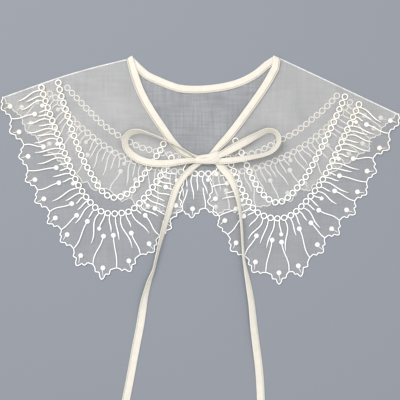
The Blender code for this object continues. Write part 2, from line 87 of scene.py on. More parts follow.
world = bpy.data.worlds.new("soft_daylight")
world.use_nodes = True
daylight = world.node_tree.nodes["Background"]
daylight.inputs["Color"].default_value = (*DAYLIGHT_COLOUR, 1)
daylight.inputs["Strength"].default_value = DAYLIGHT_STRENGTH
bpy.context.scene.world = world
bpy.context.scene.view_settings.view_transform = "Standard"

# The collar cloth: one C-shaped piece of sheer organza, laid flat and folded once at each
# shoulder, so that the back panel lies underneath and the two rounded fronts lie over it.
MM = 0.001
BACK_HEIGHT = 0.5
FRONT_HEIGHT = 1.8
FOLD_STEPS = 6
PRESSED_WIDTH = 0.8
DROP_CLEARANCE = 4.0
DROP_RUN = 12.0
RIPPLE_HEIGHT = 0.5
RIPPLE_LENGTHS = (11.0, 13.0)
CREASE_SWAY = 5.0
CREASE_UNEVENNESS = 0.35
SMALLEST_GAP = 1e-5
CLOTH_STEP = 6.0
CLOTH_ROW_RATIO = 0.87
EDGE_STEP = 0.8
EDGE_ROUNDING = 2
ORGANZA_PITCH = 0.55
SLUB_STRETCHES = ((450, 25, 1), (25, 450, 1))

Scallop = namedtuple("Scallop", "notch_x notch_y tip_x tip_y")
FRONT_LEFT_SCALLOPS = [Scallop(*row) for row in (
    (-245.6, 91.3, -247.9, 76.0),
    (-235.0, 63.8, -237.6, 47.0),
    (-219.6, 31.3, -226.5, 16.3),
    (-214.6, -1.0, -218.1, -13.8),
    (-202.6, -24.9, -206.3, -40.0),
    (-187.4, -52.0, -190.6, -66.3),
    (-172.9, -74.4, -174.4, -89.4),
    (-157.6, -98.3, -154.4, -119.4),
    (-133.5, -117.8, -122.8, -136.9),
    (-104.0, -122.1, -86.9, -127.0),
    (-74.5, -105.4, -57.5, -102.5),
    (-50.0, -81.9, -35.3, -72.5),
    (-36.6, -61.3, -21.3, -50.0),
    (-24.4, -28.8, -20.6, -17.5),
)]
FRONT_LEFT_CORNER = (-16.3, 8.8)
FRONT_RIGHT_SCALLOPS = [Scallop(*row) for row in (
    (247.8, 70.0, 247.9, 56.5),
    (235.4, 45.6, 236.1, 25.9),
    (215.4, 14.4, 220.5, -2.9),
    (207.9, -15.0, 208.1, -30.5),
    (192.9, -38.5, 193.8, -55.3),
    (173.8, -63.1, 173.8, -80.8),
    (155.5, -84.8, 153.9, -103.0),
    (136.8, -109.4, 126.3, -133.1),
    (110.9, -127.0, 98.9, -142.9),
    (82.1, -127.8, 65.6, -127.8),
    (55.6, -106.9, 38.1, -100.6),
    (34.3, -80.3, 21.8, -68.8),
    (23.8, -57.5, 9.4, -40.0),
    (15.0, -21.3, 12.1, -7.5),
)]
FRONT_RIGHT_CORNER = (21.5, 2.5)
BACK_SCALLOPS = [Scallop(*row) for row in (
    (-245.6, 91.3, -232.5, 73.8),
    (-222.5, 65.0, -217.5, 48.8),
    (-202.5, 38.8, -196.3, 25.0),
    (-181.3, 17.5, -170.0, 5.0),
    (-155.0, -5.0, -131.9, -25.6),
    (-112.5, -25.0, -97.5, -39.4),
    (-86.3, -35.0, -72.5, -50.6),
    (-55.0, -45.6, -38.8, -57.5),
    (-21.9, -50.0, -10.4, -60.1),
    (6.9, -47.5, 20.0, -57.5),
    (36.3, -49.4, 54.4, -55.0),
    (70.0, -45.6, 85.0, -45.0),
    (98.8, -37.5, 113.8, -39.4),
    (126.3, -23.8, 136.3, -26.3),
    (155.0, -8.8, 171.3, 0.0),
    (181.3, 7.5, 193.8, 12.5),
    (198.8, 20.0, 211.9, 25.0),
    (212.5, 39.4, 225.6, 44.4),
    (226.9, 52.5, 236.3, 60.0),
)]
BACK_CORNER = (247.8, 70.0)
DROP_START = (-262.0, 80.0)
DROP_END = (262.0, 62.0)

Tooth = namedtuple("Tooth", "along out")
RISE_TEETH = [Tooth(*row) for row in (
    (0.00, 0.00),
    (0.24, 0.00),
    (0.43, 0.10),
    (0.56, -0.09),
    (0.82, 0.01),
)]
FALL_TEETH = [Tooth(*row) for row in (
    (0.00, 0.00),
    (0.32, -0.13),
    (0.51, 0.03),
    (0.66, -0.11),
    (0.86, 0.00),
)]

LEFT_FOLD = ((-92.4, 138.3), (-136.0, 127.5), (-178.3, 115.0), (-245.6, 91.3))
RIGHT_FOLD = ((101.0, 139.1), (138.5, 121.6), (175.4, 104.2), (247.8, 70.0))

# The neck edge, which the binding covers: down each front, and along the back of the neck
BindingPoint = namedtuple("BindingPoint", "x y width")
LEFT_BINDING = [BindingPoint(*row) for row in (
    (-82.3, 120.4, 10.0), (-74.0, 97.5, 10.0), (-61.8, 75.0, 10.0),
    (-45.4, 50.4, 10.0), (-34.5, 35.0, 9.6), (-22.0, 22.5, 8.6),
    (-7.2, 15.4, 7.6),
)]
RIGHT_BINDING = [BindingPoint(*row) for row in (
    (94.0, 127.0, 10.0), (80.5, 103.3, 10.0), (56.3, 68.8, 10.0),
    (37.3, 43.8, 10.0), (26.5, 32.0, 9.0), (16.8, 21.2, 7.6),
)]
BACK_BINDING = [BindingPoint(*row) for row in (
    (-76.4, 126.8, 9.6), (-66.0, 118.1, 9.6), (-53.4, 112.0, 9.6),
    (-37.5, 105.5, 9.6), (-22.8, 101.4, 9.6), (0.0, 100.5, 9.6),
    (27.5, 103.4, 9.6), (50.0, 109.4, 9.6), (68.8, 119.1, 9.6),
    (84.0, 131.5, 9.6),
)]

# Soft creases from packing: where each runs, how far it rises and how wide it is
Crease = namedtuple("Crease", "x y to_x to_y rise width")
FRONT_CREASES = [Crease(*row) for row in (
    (-120.0, 128.0, -150.0, -60.0, 0.9, 11.0),
    (-168.0, 110.0, -205.0, 5.0, 0.8, 9.0),
    (-205.0, 60.0, -150.0, -80.0, 0.7, 8.0),
    (-96.0, 120.0, -112.0, 60.0, 0.7, 9.0),
    (128.0, 118.0, 140.0, -70.0, 0.9, 11.0),
    (165.0, 100.0, 196.0, -20.0, 0.8, 9.0),
    (205.0, 60.0, 165.0, -60.0, 0.7, 8.0),
    (104.0, 118.0, 112.0, 62.0, 0.7, 9.0),
)]
BACK_CREASES = [Crease(*row) for row in (
    (-38.0, 95.0, -20.0, 42.0, 0.6, 7.0),
    (8.0, 92.0, 4.0, 40.0, 0.5, 9.0),
    (-70.0, 107.0, -44.0, 104.0, 0.7, 3.0),
    (44.0, 98.0, 26.0, 48.0, 0.6, 7.0),
)]


def smooth_rows(rows, step):
    """Rows read off a Catmull-Rom curve through the given rows, about step apart in plan."""
    rows = np.array(rows, float)
    padded = np.vstack((2 * rows[0] - rows[1], rows, 2 * rows[-1] - rows[-2]))
    out = []
    for before, start, end, after in zip(padded, padded[1:], padded[2:], padded[3:]):
        count = max(1, round(math.dist(start[:2], end[:2]) / step))
        for share in np.arange(count) / count:
            out.append(0.5 * (2 * start + (end - before) * share
                              + (2 * before - 5 * start + 4 * end - after) * share ** 2
                              + (3 * start - before - 3 * end + after) * share ** 3))
    out.append(rows[-1])
    return np.array(out)


def lengths_along(points):
    """How far along a line of points each of them lies."""
    return np.concatenate(((0.0,), np.cumsum(np.linalg.norm(np.diff(points, axis=0), axis=1))))


def points_at(stops, lengths, points):
    """The points that lie as far along a line as the stops say."""
    return np.stack([np.interp(stops, lengths, column) for column in points.T], axis=-1)


def unit(rows):
    """Rows of numbers as directions of length 1."""
    return rows / np.linalg.norm(rows, axis=1)[:, None]


def plan_directions(points):
    """Unit directions along a line of points seen from above."""
    return unit(np.gradient(points[:, :2], axis=0))


def right_hand(directions):
    """Directions turned a quarter turn to the right, seen from above."""
    return np.stack((directions[:, 1], -directions[:, 0]), axis=1)


def scalloped_edge(scallops, end, outer_hand):
    """Rounded edge points from the first notch to the end, with two small teeth up each side."""
    notches = [Vector(row[:2]) for row in scallops] + [Vector(end)]
    points = []
    for row, notch, next_notch in zip(scallops, notches, notches[1:]):
        tip = Vector(row[2:])
        rise, fall = tip - notch, next_notch - tip
        rise_out = Vector((rise.y, -rise.x)) * outer_hand
        fall_out = Vector((fall.y, -fall.x)) * outer_hand
        points += [notch + rise * tooth.along + rise_out * tooth.out for tooth in RISE_TEETH]
        points.append(tip)
        points += [next_notch - fall * tooth.along + fall_out * tooth.out
                   for tooth in reversed(FALL_TEETH[1:])]
    corners = np.array([tuple(point) for point in (*points, notches[-1])])
    lengths = lengths_along(corners)
    stops = np.linspace(0, lengths[-1], round(lengths[-1] / EDGE_STEP) + 1)
    edge = points_at(stops, lengths, corners)
    for _ in range(EDGE_ROUNDING):
        edge[1:-1] = (edge[:-2] + 2 * edge[1:-1] + edge[2:]) / 4
    return edge


def drop_line():
    """The line just outside the back's tips where a front comes down to the floor."""
    tips = np.array([row[2:] for row in BACK_SCALLOPS])
    line = tips + right_hand(plan_directions(tips)) * DROP_CLEARANCE
    line = smooth_rows(np.vstack((DROP_START, line, DROP_END)), CLOTH_STEP)
    return line, right_hand(plan_directions(line))


DROP_LINE, DROP_OUTWARD = drop_line()


def crease_rise(points, creases):
    """How far soft, uneven creases lift the cloth at each point."""
    rise = np.zeros(len(points))
    for crease in creases:
        start, span = np.array(crease[:2]), np.array(crease[2:4]) - np.array(crease[:2])
        share = (points - start) @ span / (span @ span)
        sway = CREASE_SWAY * np.sin(5 * share + crease.x)
        across = (points - start) @ np.array((span[1], -span[0])) / np.linalg.norm(span) + sway
        fade = np.sin(np.pi * np.clip(share, 0, 1))
        fade *= 1 + CREASE_UNEVENNESS * np.sin(9 * share + crease.y)
        rise += crease.rise * fade * np.exp(-(across / crease.width) ** 2)
    return rise


def back_heights(points):
    """Height of the back panel in the middle of its cloth."""
    return BACK_HEIGHT + crease_rise(points, BACK_CREASES)


def front_heights(points):
    """Height of the fronts: over the back, then down on the floor outside it, lightly rippled."""
    offsets = points[:, None, :] - DROP_LINE[None]
    nearest = (offsets ** 2).sum(axis=2).argmin(axis=1)
    outside = (offsets[np.arange(len(points)), nearest] * DROP_OUTWARD[nearest]).sum(axis=1)
    share = np.clip(outside / DROP_RUN, 0, 1)
    share = share * share * (3 - 2 * share)
    waves = np.sin(points / RIPPLE_LENGTHS)
    ripple = RIPPLE_HEIGHT * share * (1 + waves[:, 0] * waves[:, 1])
    flat = FRONT_HEIGHT - (FRONT_HEIGHT - BACK_HEIGHT) * share
    return flat + ripple + crease_rise(points, FRONT_CREASES)


def laid_on(heights, places, lift=0.0):
    """Places in plan brought to the height of the cloth there, or a little above it."""
    return np.column_stack((places, heights(places) + lift))


def is_inside(point, outline):
    """Whether a point in plan lies inside an outline."""
    ends = np.roll(outline, -1, axis=0)
    rising = np.where(ends[:, 1] == outline[:, 1], 1.0, ends[:, 1] - outline[:, 1])
    crosses = (outline[:, 1] > point[1]) != (ends[:, 1] > point[1])
    reach = outline[:, 0] + (ends[:, 0] - outline[:, 0]) * (point[1] - outline[:, 1]) / rising
    return (crosses & (reach > point[0])).sum() % 2 == 1


def grid_inside(outline):
    """Points of a staggered grid that lie well inside an outline."""
    low, high = outline.min(axis=0), outline.max(axis=0)
    row_step = CLOTH_STEP * CLOTH_ROW_RATIO
    kept = []
    for row in range(1, int((high[1] - low[1]) / row_step) + 1):
        for column in range(int((high[0] - low[0]) / CLOTH_STEP) + 1):
            point = low + np.array((CLOTH_STEP * (column + 0.5 * (row % 2)), row_step * row))
            gap = np.linalg.norm(outline - point, axis=1).min()
            if gap > CLOTH_STEP / 3 and is_inside(point, outline):
                kept.append(Vector(point))
    return kept


def panel(outline, heights):
    """Points and triangles of one panel of the cloth."""
    points = [Vector(point) for point in outline] + grid_inside(outline)
    border = list(range(len(outline)))
    places, _, triangles, *_ = delaunay_2d_cdt(points, [], [border], 1, SMALLEST_GAP)
    flat = np.array([tuple(place) for place in places])
    return laid_on(heights, flat), triangles


def skin(start, row_count, width, wrapped=True, closed=False):
    """Four-sided faces between rows of points. A wrapped row is a ring, and closed rows meet."""
    faces = []
    for row in range(row_count if closed else row_count - 1):
        low, high = start + row * width, start + (row + 1) % row_count * width
        for corner in range(width if wrapped else width - 1):
            after = (corner + 1) % width
            faces.append((low + corner, low + after, high + after, high + corner))
    return faces


def add_piece(name, points, faces, material, uvs=None):
    """A smooth mesh piece from points in millimetres, which rides on the collar."""
    mesh = bpy.data.meshes.new(name)
    mesh.from_pydata((np.asarray(points, float) * MM).tolist(), [], [list(face) for face in faces])
    mesh.shade_smooth()
    mesh.materials.append(material)
    if uvs is not None:
        layer = mesh.uv_layers.new(name="thread")
        corners = np.zeros(len(mesh.loops), int)
        mesh.loops.foreach_get("vertex_index", corners)
        layer.data.foreach_set("uv", np.asarray(uvs, float)[corners].ravel())
    piece = bpy.data.objects.new(name, mesh)
    bpy.context.scene.collection.objects.link(piece)
    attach(piece, "root")
    return piece


def fold_rows(fold, outward_hand):
    """The line where the pressed fold begins, and rows that carry the cloth round it."""
    line = smooth_rows(fold, CLOTH_STEP)
    outward = right_hand(plan_directions(line)) * outward_hand
    radius = (FRONT_HEIGHT - BACK_HEIGHT) / 2
    roll = line - outward * radius
    start = roll - outward * PRESSED_WIDTH
    rows = [np.column_stack((start, np.full(len(start), BACK_HEIGHT)))]
    for step in range(FOLD_STEPS + 1):
        turn = math.pi * step / FOLD_STEPS
        reach = roll + outward * radius * math.sin(turn)
        height = (BACK_HEIGHT + FRONT_HEIGHT) / 2 - radius * math.cos(turn)
        rows.append(np.column_stack((reach, np.full(len(reach), height))))
    rows.append(laid_on(front_heights, start))
    return start, rows


class Material:
    """A woven or sewn surface, whose texture nodes are added one after another."""

    def __init__(self, name, surface):
        self.material = bpy.data.materials.new(name)
        self.material.use_nodes = True
        self.tree = self.material.node_tree
        self.shader = self.tree.nodes["Principled BSDF"]
        self.set_inputs(self.shader, surface)

    def set_inputs(self, node, inputs):
        """Gives a node's inputs their values, or links them to the outputs given for them."""
        for socket, value in inputs.items():
            if isinstance(value, bpy.types.NodeSocket):
                self.tree.links.new(value, node.inputs[socket])
            else:
                node.inputs[socket].default_value = value

    def add(self, kind, output, inputs, **settings):
        """Adds a node and hands back the output that the next node reads."""
        node = self.tree.nodes.new(kind)
        for setting, value in settings.items():
            setattr(node, setting, value)
        self.set_inputs(node, inputs)
        return node.outputs[output]

    def bands(self, place, pitch, direction, distortion, detail_scale=1.0):
        """Soft stripes at the pitch of the threads."""
        return self.add("ShaderNodeTexWave", "Fac", {
            "Vector": place, "Scale": 2 * math.pi / (20 * pitch), "Distortion": distortion,
            "Detail Scale": detail_scale}, bands_direction=direction)

    def noise(self, place, scale, detail=2.0):
        """Soft random patches."""
        return self.add("ShaderNodeTexNoise", "Fac", {
            "Vector": place, "Scale": scale, "Detail": detail})

    def work_out(self, operation, *values):
        """One sum done on values or outputs."""
        return self.add("ShaderNodeMath", "Value", dict(enumerate(values)), operation=operation)

    def rescale(self, value, low, high, to_low=0.0, to_high=1.0):
        """A value brought from one range to another."""
        return self.add("ShaderNodeMapRange", "Result", {
            "Value": value, "From Min": low, "From Max": high, "To Min": to_low, "To Max": to_high})

    def mix(self, share, first, second):
        """A colour between two others."""
        return self.add("ShaderNodeMixRGB", "Color", {
            "Fac": share, "Color1": first, "Color2": second})

    def finish(self, colour, relief, strength, depth):
        """The finished material, with its colour and its raised threads joined to the shader."""
        normal = self.add("ShaderNodeBump", "Normal", {
            "Strength": strength, "Distance": depth, "Height": relief})
        self.set_inputs(self.shader, {"Base Color": colour, "Normal": normal})
        return self.material


# How much each stretch of cloth covers of what lies under it, and how light its threads are. The
# pressed fold is denser than one layer, and its much lighter tint is a painted highlight along it.
# Where the fronts lie over the back, the back has more cover and a paler tint: painted light for
# what two layers scatter between them. In the neck opening it has less cover and a darker tint:
# painted shade, as it lies in the fronts' shade.
Organza = namedtuple("Organza", "name thinnest thickest dark_tint light_tint")
ONE_LAYER = Organza("organza", 0.28, 0.46, 0.32, 0.42)
FOLD_PAINTED_HIGHLIGHT = Organza("organza_fold_painted_highlight", 0.75, 0.95, 0.56, 0.78)
NECK_PAINTED_SHADE = Organza("organza_neck_painted_shade", 0.34, 0.50, 0.25, 0.47)
DOUBLED_PAINTED_LIGHT = Organza("organza_doubled_painted_light", 0.52, 0.72, 0.435, 0.505)
ORGANZA_KINDS = (ONE_LAYER, FOLD_PAINTED_HIGHLIGHT, NECK_PAINTED_SHADE, DOUBLED_PAINTED_LIGHT)


def organza_material(kind):
    """Sheer plain-woven organza: crisp, greyish white, with here and there a thicker thread."""
    cloth = Material(kind.name, {"Roughness": 0.5, "Specular IOR Level": 0.25, "Sheen Weight": 0.35,
                                 "Sheen Roughness": 0.4})
    place = cloth.add("ShaderNodeTexCoord", "Object", {})
    warp = cloth.bands(place, ORGANZA_PITCH * MM, "X", 0.0)
    weft = cloth.bands(place, ORGANZA_PITCH * MM, "Y", 0.0)
    weave = cloth.work_out("MAXIMUM", warp, weft)
    cloudy = cloth.noise(place, 22.0, 3.0)
    slubs = [cloth.noise(cloth.add("ShaderNodeMapping", "Vector", {"Vector": place, "Scale": stretch}),
                         1.0) for stretch in SLUB_STRETCHES]
    mottle = cloth.work_out("ADD", cloth.work_out("ADD", *slubs), cloudy)
    density = cloth.work_out("MULTIPLY", weave, cloudy)
    cover = cloth.rescale(density, 0.1, 0.6, kind.thinnest, kind.thickest)
    cloth.set_inputs(cloth.shader, {"Alpha": cover})
    dark, light = ((tint, 0.99 * tint, 0.97 * tint, 1) for tint in (kind.dark_tint, kind.light_tint))
    tint = cloth.mix(cloth.rescale(mottle, 1.15, 1.85), dark, light)
    return cloth.finish(tint, weave, 0.25, 0.0002)


left_fold, left_roll = fold_rows(LEFT_FOLD, 1)
right_fold, right_roll = fold_rows(RIGHT_FOLD, -1)
left_front_edge = scalloped_edge(FRONT_LEFT_SCALLOPS, FRONT_LEFT_CORNER, 1)
right_front_edge = scalloped_edge(FRONT_RIGHT_SCALLOPS, FRONT_RIGHT_CORNER, -1)
back_edge = scalloped_edge(BACK_SCALLOPS, BACK_CORNER, 1)
left_neck = smooth_rows(LEFT_BINDING, CLOTH_STEP)[:, :2]
right_neck = smooth_rows(RIGHT_BINDING, CLOTH_STEP)[:, :2]
back_neck = smooth_rows(BACK_BINDING, CLOTH_STEP)[:, :2]

# Each panel's outline: its scalloped edge, then its neck edge and its folds
panels = (
    (np.vstack((left_front_edge[1:], left_neck[-3::-1], left_fold)), front_heights),
    (np.vstack((right_front_edge[1:], right_neck[-2::-1], right_fold)), front_heights),
    (np.vstack((back_edge[1:-1], right_fold[::-1], back_neck[::-1], left_fold)), back_heights),
)
cloth_points, cloth_faces, panel_starts = [], [], []
for outline, heights in panels:
    points, triangles = panel(outline, heights)
    panel_starts.append(len(cloth_faces))
    cloth_faces += [[len(cloth_points) + corner for corner in triangle] for triangle in triangles]
    cloth_points += points.tolist()
flat_faces = len(cloth_faces)
for rows in (left_roll, right_roll):
    cloth_faces += skin(len(cloth_points), len(rows), len(rows[0]), wrapped=False)
    cloth_points += np.vstack(rows).tolist()
organza = add_piece("organza_cloth", cloth_points, cloth_faces, organza_material(ONE_LAYER))
for kind in ORGANZA_KINDS[1:]:
    organza.data.materials.append(organza_material(kind))
# The rolled folds take the copy with the painted highlight
for face in organza.data.polygons[flat_faces:]:
    face.material_index = ORGANZA_KINDS.index(FOLD_PAINTED_HIGHLIGHT)
# The back panel takes the copy with painted light under the fronts, and the copy with painted shade in
# the neck opening
for face in organza.data.polygons[panel_starts[-1]:flat_faces]:
    place = np.array(face.center[:2]) / MM
    covered = any(is_inside(place, outline) for outline, _ in panels[:2])
    face.material_index = ORGANZA_KINDS.index(DOUBLED_PAINTED_LIGHT if covered else NECK_PAINTED_SHADE)
# Points that no face uses go, and all the faces are turned the same way
shape = bmesh.new()
shape.from_mesh(organza.data)
bmesh.ops.delete(shape, geom=[vert for vert in shape.verts if not vert.link_faces], context="VERTS")
bmesh.ops.recalc_face_normals(shape, faces=shape.faces)
shape.to_mesh(organza.data)
shape.free()
organza.visible_shadow = False
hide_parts("collar_cloth")

# The corded edge: a close satin stitch in white thread worked over the raw edge of every
# scallop, on both fronts and on the back panel.
CORD_RADIUS = 0.72
CORD_HEIGHT = 0.55
CORD_LIFT = 0.3
STITCH_PITCH = 0.45
THREAD_SIDES = 6
LOWEST_THREAD = 0.02
DOT_LEVELS = 4
DOT_SEGMENTS = 14
# The thread's warmer tint towards the neck is painted light, not a colour of the thread itself
PAINTED_WARM_LIGHT = (0.92, 0.84, 0.66)
PAINTED_WARMTH_BEGINS = -0.07
PAINTED_WARMTH_FULL = 0.06
THREAD_SLOT = "ring_chain_left_outer"


def thread_material(name, between, crown):
    """White satin-stitched rayon, its stitches side by side. Towards the neck it is given an uneven
    warm tint: painted light, for the warm light that the doubled cloth under it scatters.
    """
    thread = Material(name, {"Roughness": 0.42, "Sheen Weight": 0.3, "Specular IOR Level": 0.45})
    along = thread.add("ShaderNodeUVMap", "UV", {}, uv_map="thread")
    stitches = thread.bands(along, STITCH_PITCH, "DIAGONAL", 0.6)
    white = thread.mix(stitches, (between, between, between, 1), (crown, crown, 0.99 * crown, 1))
    place = thread.add("ShaderNodeTexCoord", "Object", {})
    # Painted warm light: the thread is tinted warmer towards the neck, unevenly
    up_the_collar = thread.add("ShaderNodeSeparateXYZ", "Y", {"Vector": place})
    towards_neck_share = thread.rescale(up_the_collar, PAINTED_WARMTH_BEGINS, PAINTED_WARMTH_FULL)
    painted_warmth = thread.work_out("MULTIPLY", towards_neck_share, thread.noise(place, 45.0))
    warm_lit_white = (*(part * crown for part in PAINTED_WARM_LIGHT), 1)
    return thread.finish(thread.mix(painted_warmth, white, warm_lit_white), stitches, 0.5, 0.00015)


white_thread = thread_material("white_thread", 0.90, 0.97)
# The dots are worked in the same white thread; this darker copy of it is painted shade
shaded_dot_thread = thread_material("white_thread_dots_painted_shade", 0.62, 0.82)


class Stitching:
    """Threads gathered into one mesh, with how far along its thread each point lies."""

    def __init__(self):
        self.points, self.faces, self.uvs, self.dot_faces = [], [], [], []

    def thread(self, path, half_widths, half_height, sides=THREAD_SIDES, closed=False):
        """A raised thread along a path of points, pinched where its half width is small."""
        if closed:
            ahead = np.roll(path, -1, axis=0) - np.roll(path, 1, axis=0)
        else:
            ahead = np.gradient(path, axis=0)
        across = right_hand(unit(ahead[:, :2]))
        half_widths = np.broadcast_to(half_widths, len(path))
        start = len(self.points)
        along = 0.0
        for index, (point, side, half) in enumerate(zip(path, across, half_widths)):
            if index:
                along += math.dist(point, path[index - 1])
            tall = half_height * min(1.0, half / half_widths.max() + 0.2)
            for corner in range(sides):
                turn = 2 * math.pi * (corner + 0.5) / sides
                reach = half * math.cos(turn)
                self.points.append((point[0] + side[0] * reach, point[1] + side[1] * reach,
                                    max(LOWEST_THREAD, point[2] + tall * math.sin(turn))))
                self.uvs.append((along, half * turn))
        for low, low_next, high_next, high in skin(start, len(path), sides, closed=closed):
            self.faces.append((low, high, high_next, low_next))
        if not closed:
            self.faces.append([start + corner for corner in range(sides)])
            last = len(self.points) - sides
            self.faces.append([last + corner for corner in reversed(range(sides))])

    def dot(self, middle, radius, height, heights):
        """A padded satin dot that stands on the cloth."""
        start, first_face = len(self.points), len(self.faces)
        shape = []
        for level in range(DOT_LEVELS):
            turn = math.pi / 2 * level / DOT_LEVELS
            for segment in range(DOT_SEGMENTS):
                angle = 2 * math.pi * segment / DOT_SEGMENTS
                shape.append((middle[0] + radius * math.cos(turn) * math.cos(angle),
                              middle[1] + radius * math.cos(turn) * math.sin(angle),
                              height * math.sin(turn)))
        shape.append((*middle, height))
        for (x, y, z), ground in zip(shape, heights(np.array(shape)[:, :2])):
            self.points.append((x, y, ground + z))
            self.uvs.append((0.5 * x, 0.5 * y))
        self.faces += skin(start, DOT_LEVELS, DOT_SEGMENTS)
        top, crown = start + (DOT_LEVELS - 1) * DOT_SEGMENTS, start + DOT_LEVELS * DOT_SEGMENTS
        for segment in range(DOT_SEGMENTS):
            self.faces.append((top + segment, top + (segment + 1) % DOT_SEGMENTS, crown))
        self.faces.append([start + segment for segment in reversed(range(DOT_SEGMENTS))])
        self.dot_faces += range(first_face, len(self.faces))

    def finish(self, name, material, slot_name):
        """The piece that holds all the threads."""
        piece = add_piece(name, self.points, self.faces, material, self.uvs)
        # The dots take the darker copy of the thread: painted shade
        if self.dot_faces:
            piece.data.materials.append(shaded_dot_thread)
        for face in self.dot_faces:
            piece.data.polygons[face].material_index = 1
        return piece


for name, edge, heights in (("corded_edge_left", left_front_edge, front_heights),
                            ("corded_edge_right", right_front_edge, front_heights),
                            ("corded_edge_back", back_edge, back_heights)):
    cording = Stitching()
    cording.thread(laid_on(heights, edge, CORD_LIFT), CORD_RADIUS, CORD_HEIGHT)
    cording.finish(name, white_thread, THREAD_SLOT)

# The ring chains: two curved rows of small embroidered rings on each front and on the back, each
# ring a padded satin circle with the sheer cloth left open inside it.
RING_PITCH = 8.6
RING_RADIUS = 3.4
RING_THREAD = 0.8
RING_HEIGHT = 0.45
RING_SEGMENTS = 22
CHAIN_STEP = 1.0
FRONT_RING_LIFT = 0.75
BACK_RING_LIFT = 0.2

Chain = namedtuple("Chain", "name node heights lift line")
CHAINS = (
    Chain("rings_left_outer", "ring_chain_left_outer", front_heights, FRONT_RING_LIFT, (
        (-197.4, 102.4), (-195.6, 95.3), (-183.8, 61.3), (-168.1, 20.0), (-151.9, -18.1),
        (-132.5, -45.0), (-117.8, -53.3), (-100.4, -54.0), (-82.9, -48.5), (-59.8, -22.8),
        (-35.5, 15.0))),
    Chain("rings_left_inner", "ring_chain_left_inner", front_heights, FRONT_RING_LIFT, (
        (-176.5, 108.5), (-173.8, 96.0), (-167.5, 75.6), (-159.4, 50.0), (-147.5, 17.5),
        (-135.9, -4.4), (-124.0, -24.1), (-110.0, -34.0), (-93.1, -31.0), (-79.6, -19.6),
        (-51.0, 22.0), (-45.6, 32.2))),
    Chain("rings_right_outer", "ring_chain_right_outer", front_heights, FRONT_RING_LIFT, (
        (197.9, 81.5), (178.8, 40.0), (155.9, -6.5), (142.1, -27.3), (125.0, -46.9),
        (111.6, -57.5), (94.4, -60.4), (76.9, -56.0), (63.8, -44.4), (47.5, -14.4), (35.5, 14.5))),
    Chain("rings_right_inner", "ring_chain_right_inner", front_heights, FRONT_RING_LIFT, (
        (180.5, 91.0), (158.5, 42.5), (135.0, -3.1), (119.8, -23.8), (107.9, -35.6),
        (96.3, -40.6), (84.0, -35.4), (72.5, -22.5), (64.0, -7.5), (47.5, 31.5), (44.4, 36.2))),
    Chain("rings_back_outer", None, back_heights, BACK_RING_LIFT, (
        (-187.5, 95.0), (-178.1, 87.8), (-158.1, 62.5), (-133.1, 40.6), (-105.6, 21.3),
        (-80.0, 10.5), (-45.0, 1.0), (-6.3, -4.5), (10.6, -4.5), (54.4, -1.3), (87.5, 9.1),
        (120.0, 24.4), (146.3, 42.8), (165.0, 60.0), (187.2, 84.4))),
    Chain("rings_back_inner", None, back_heights, BACK_RING_LIFT, (
        (-165.5, 102.5), (-159.4, 95.6), (-133.1, 68.1), (-113.1, 50.6), (-87.5, 35.0),
        (-62.5, 25.0), (3.8, 12.5), (65.0, 20.5), (82.5, 27.8), (105.0, 39.6), (120.6, 47.8),
        (144.4, 66.9), (156.9, 77.8), (171.0, 92.5))),
)


def ring_centres(middle_line):
    """Ring centres at an even pitch along a chain's middle line, and the directions there."""
    line = smooth_rows(middle_line, CHAIN_STEP)
    lengths = lengths_along(line)
    count = round(lengths[-1] / RING_PITCH)
    centres = points_at(np.linspace(0.0, lengths[-1], count + 1), lengths, line)
    return centres, plan_directions(centres)


for chain in CHAINS:
    rings = Stitching()
    turns = np.linspace(0, 2 * math.pi, RING_SEGMENTS, endpoint=False)
    centres, ahead = ring_centres(chain.line)
    for index, (centre, direction) in enumerate(zip(centres, ahead)):
        # The rings are a little uneven, as those in the photo are
        along = RING_RADIUS * (1.03 + 0.03 * math.sin(2.3 * index))
        beside = RING_RADIUS * (0.97 + 0.04 * math.sin(1.7 * index + 1))
        sideways = np.array((-direction[1], direction[0]))
        circle = (centre + direction * along * np.cos(turns)[:, None]
                  + sideways * beside * np.sin(turns)[:, None])
        rings.thread(laid_on(chain.heights, circle, chain.lift), RING_THREAD, RING_HEIGHT, closed=True)
    piece = rings.finish(chain.name, white_thread, chain.node or THREAD_SLOT)
    if chain.node:
        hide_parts(chain.node)

# The twigs, stems and dots: tapered satin twigs that grow from the outer rings, stems that run in
# from the notches to a padded dot, and a dot inside every tip, all worked in the same thread.
TWIG_HALF_WIDTH = 0.85
STEM_HALF_WIDTH = 0.75
TWIG_POINTS = 21
TWIG_PITCH = 6.5
Twig = namedtuple("Twig", "reach bend dotted")
TWIGS = (
    Twig(0.62, 0.13, False), Twig(0.40, 0.07, False), Twig(0.56, 0.15, False),
    Twig(0.34, -0.08, True), Twig(0.66, 0.11, False), Twig(0.46, 0.06, False),
    Twig(0.60, 0.16, False), Twig(0.34, 0.09, False),
)
TWIG_TAPER = ((0, 0.15, 0.75, 1), (0.7, 0.9, 1.0, 0.4))
TWIG_SHORTENINGS = np.linspace(1.0, 0.3, 15)
THREAD_FLATNESS = 0.55
FRONT_TWIG_LIFT = 0.55
BACK_TWIG_LIFT = 0.2
STEM_SHARES = (0.60, 0.52, 0.66, 0.56)
STEM_BENDS = (0.08, -0.10, 0.05)
STEM_TAPER = ((0, 0.2, 1), (0.9, 1.0, 1.0))
PLAIN_BACK_STEMS = (7, 8)
TIP_DOT_INSET = 5.5
TIP_DOT_SHARE = 0.11
TIP_STALK_SHARE = 0.7
TIP_STALK_BEND = 0.1
TIP_STALK_TAPER = ((0, 1), (1.0, 0.6))
DOT_RADIUS = 3.2
TWIG_DOT_RADIUS = 0.85 * DOT_RADIUS
DOT_HEIGHT = 0.8
CLEARANCE = 1.2
DOT_CLEARANCE = 1.5 * DOT_RADIUS
THREAD_ROOM = 0.5
SHALLOWEST_BORDER = 4 * RING_RADIUS
NEARNESS_SPAN = 400
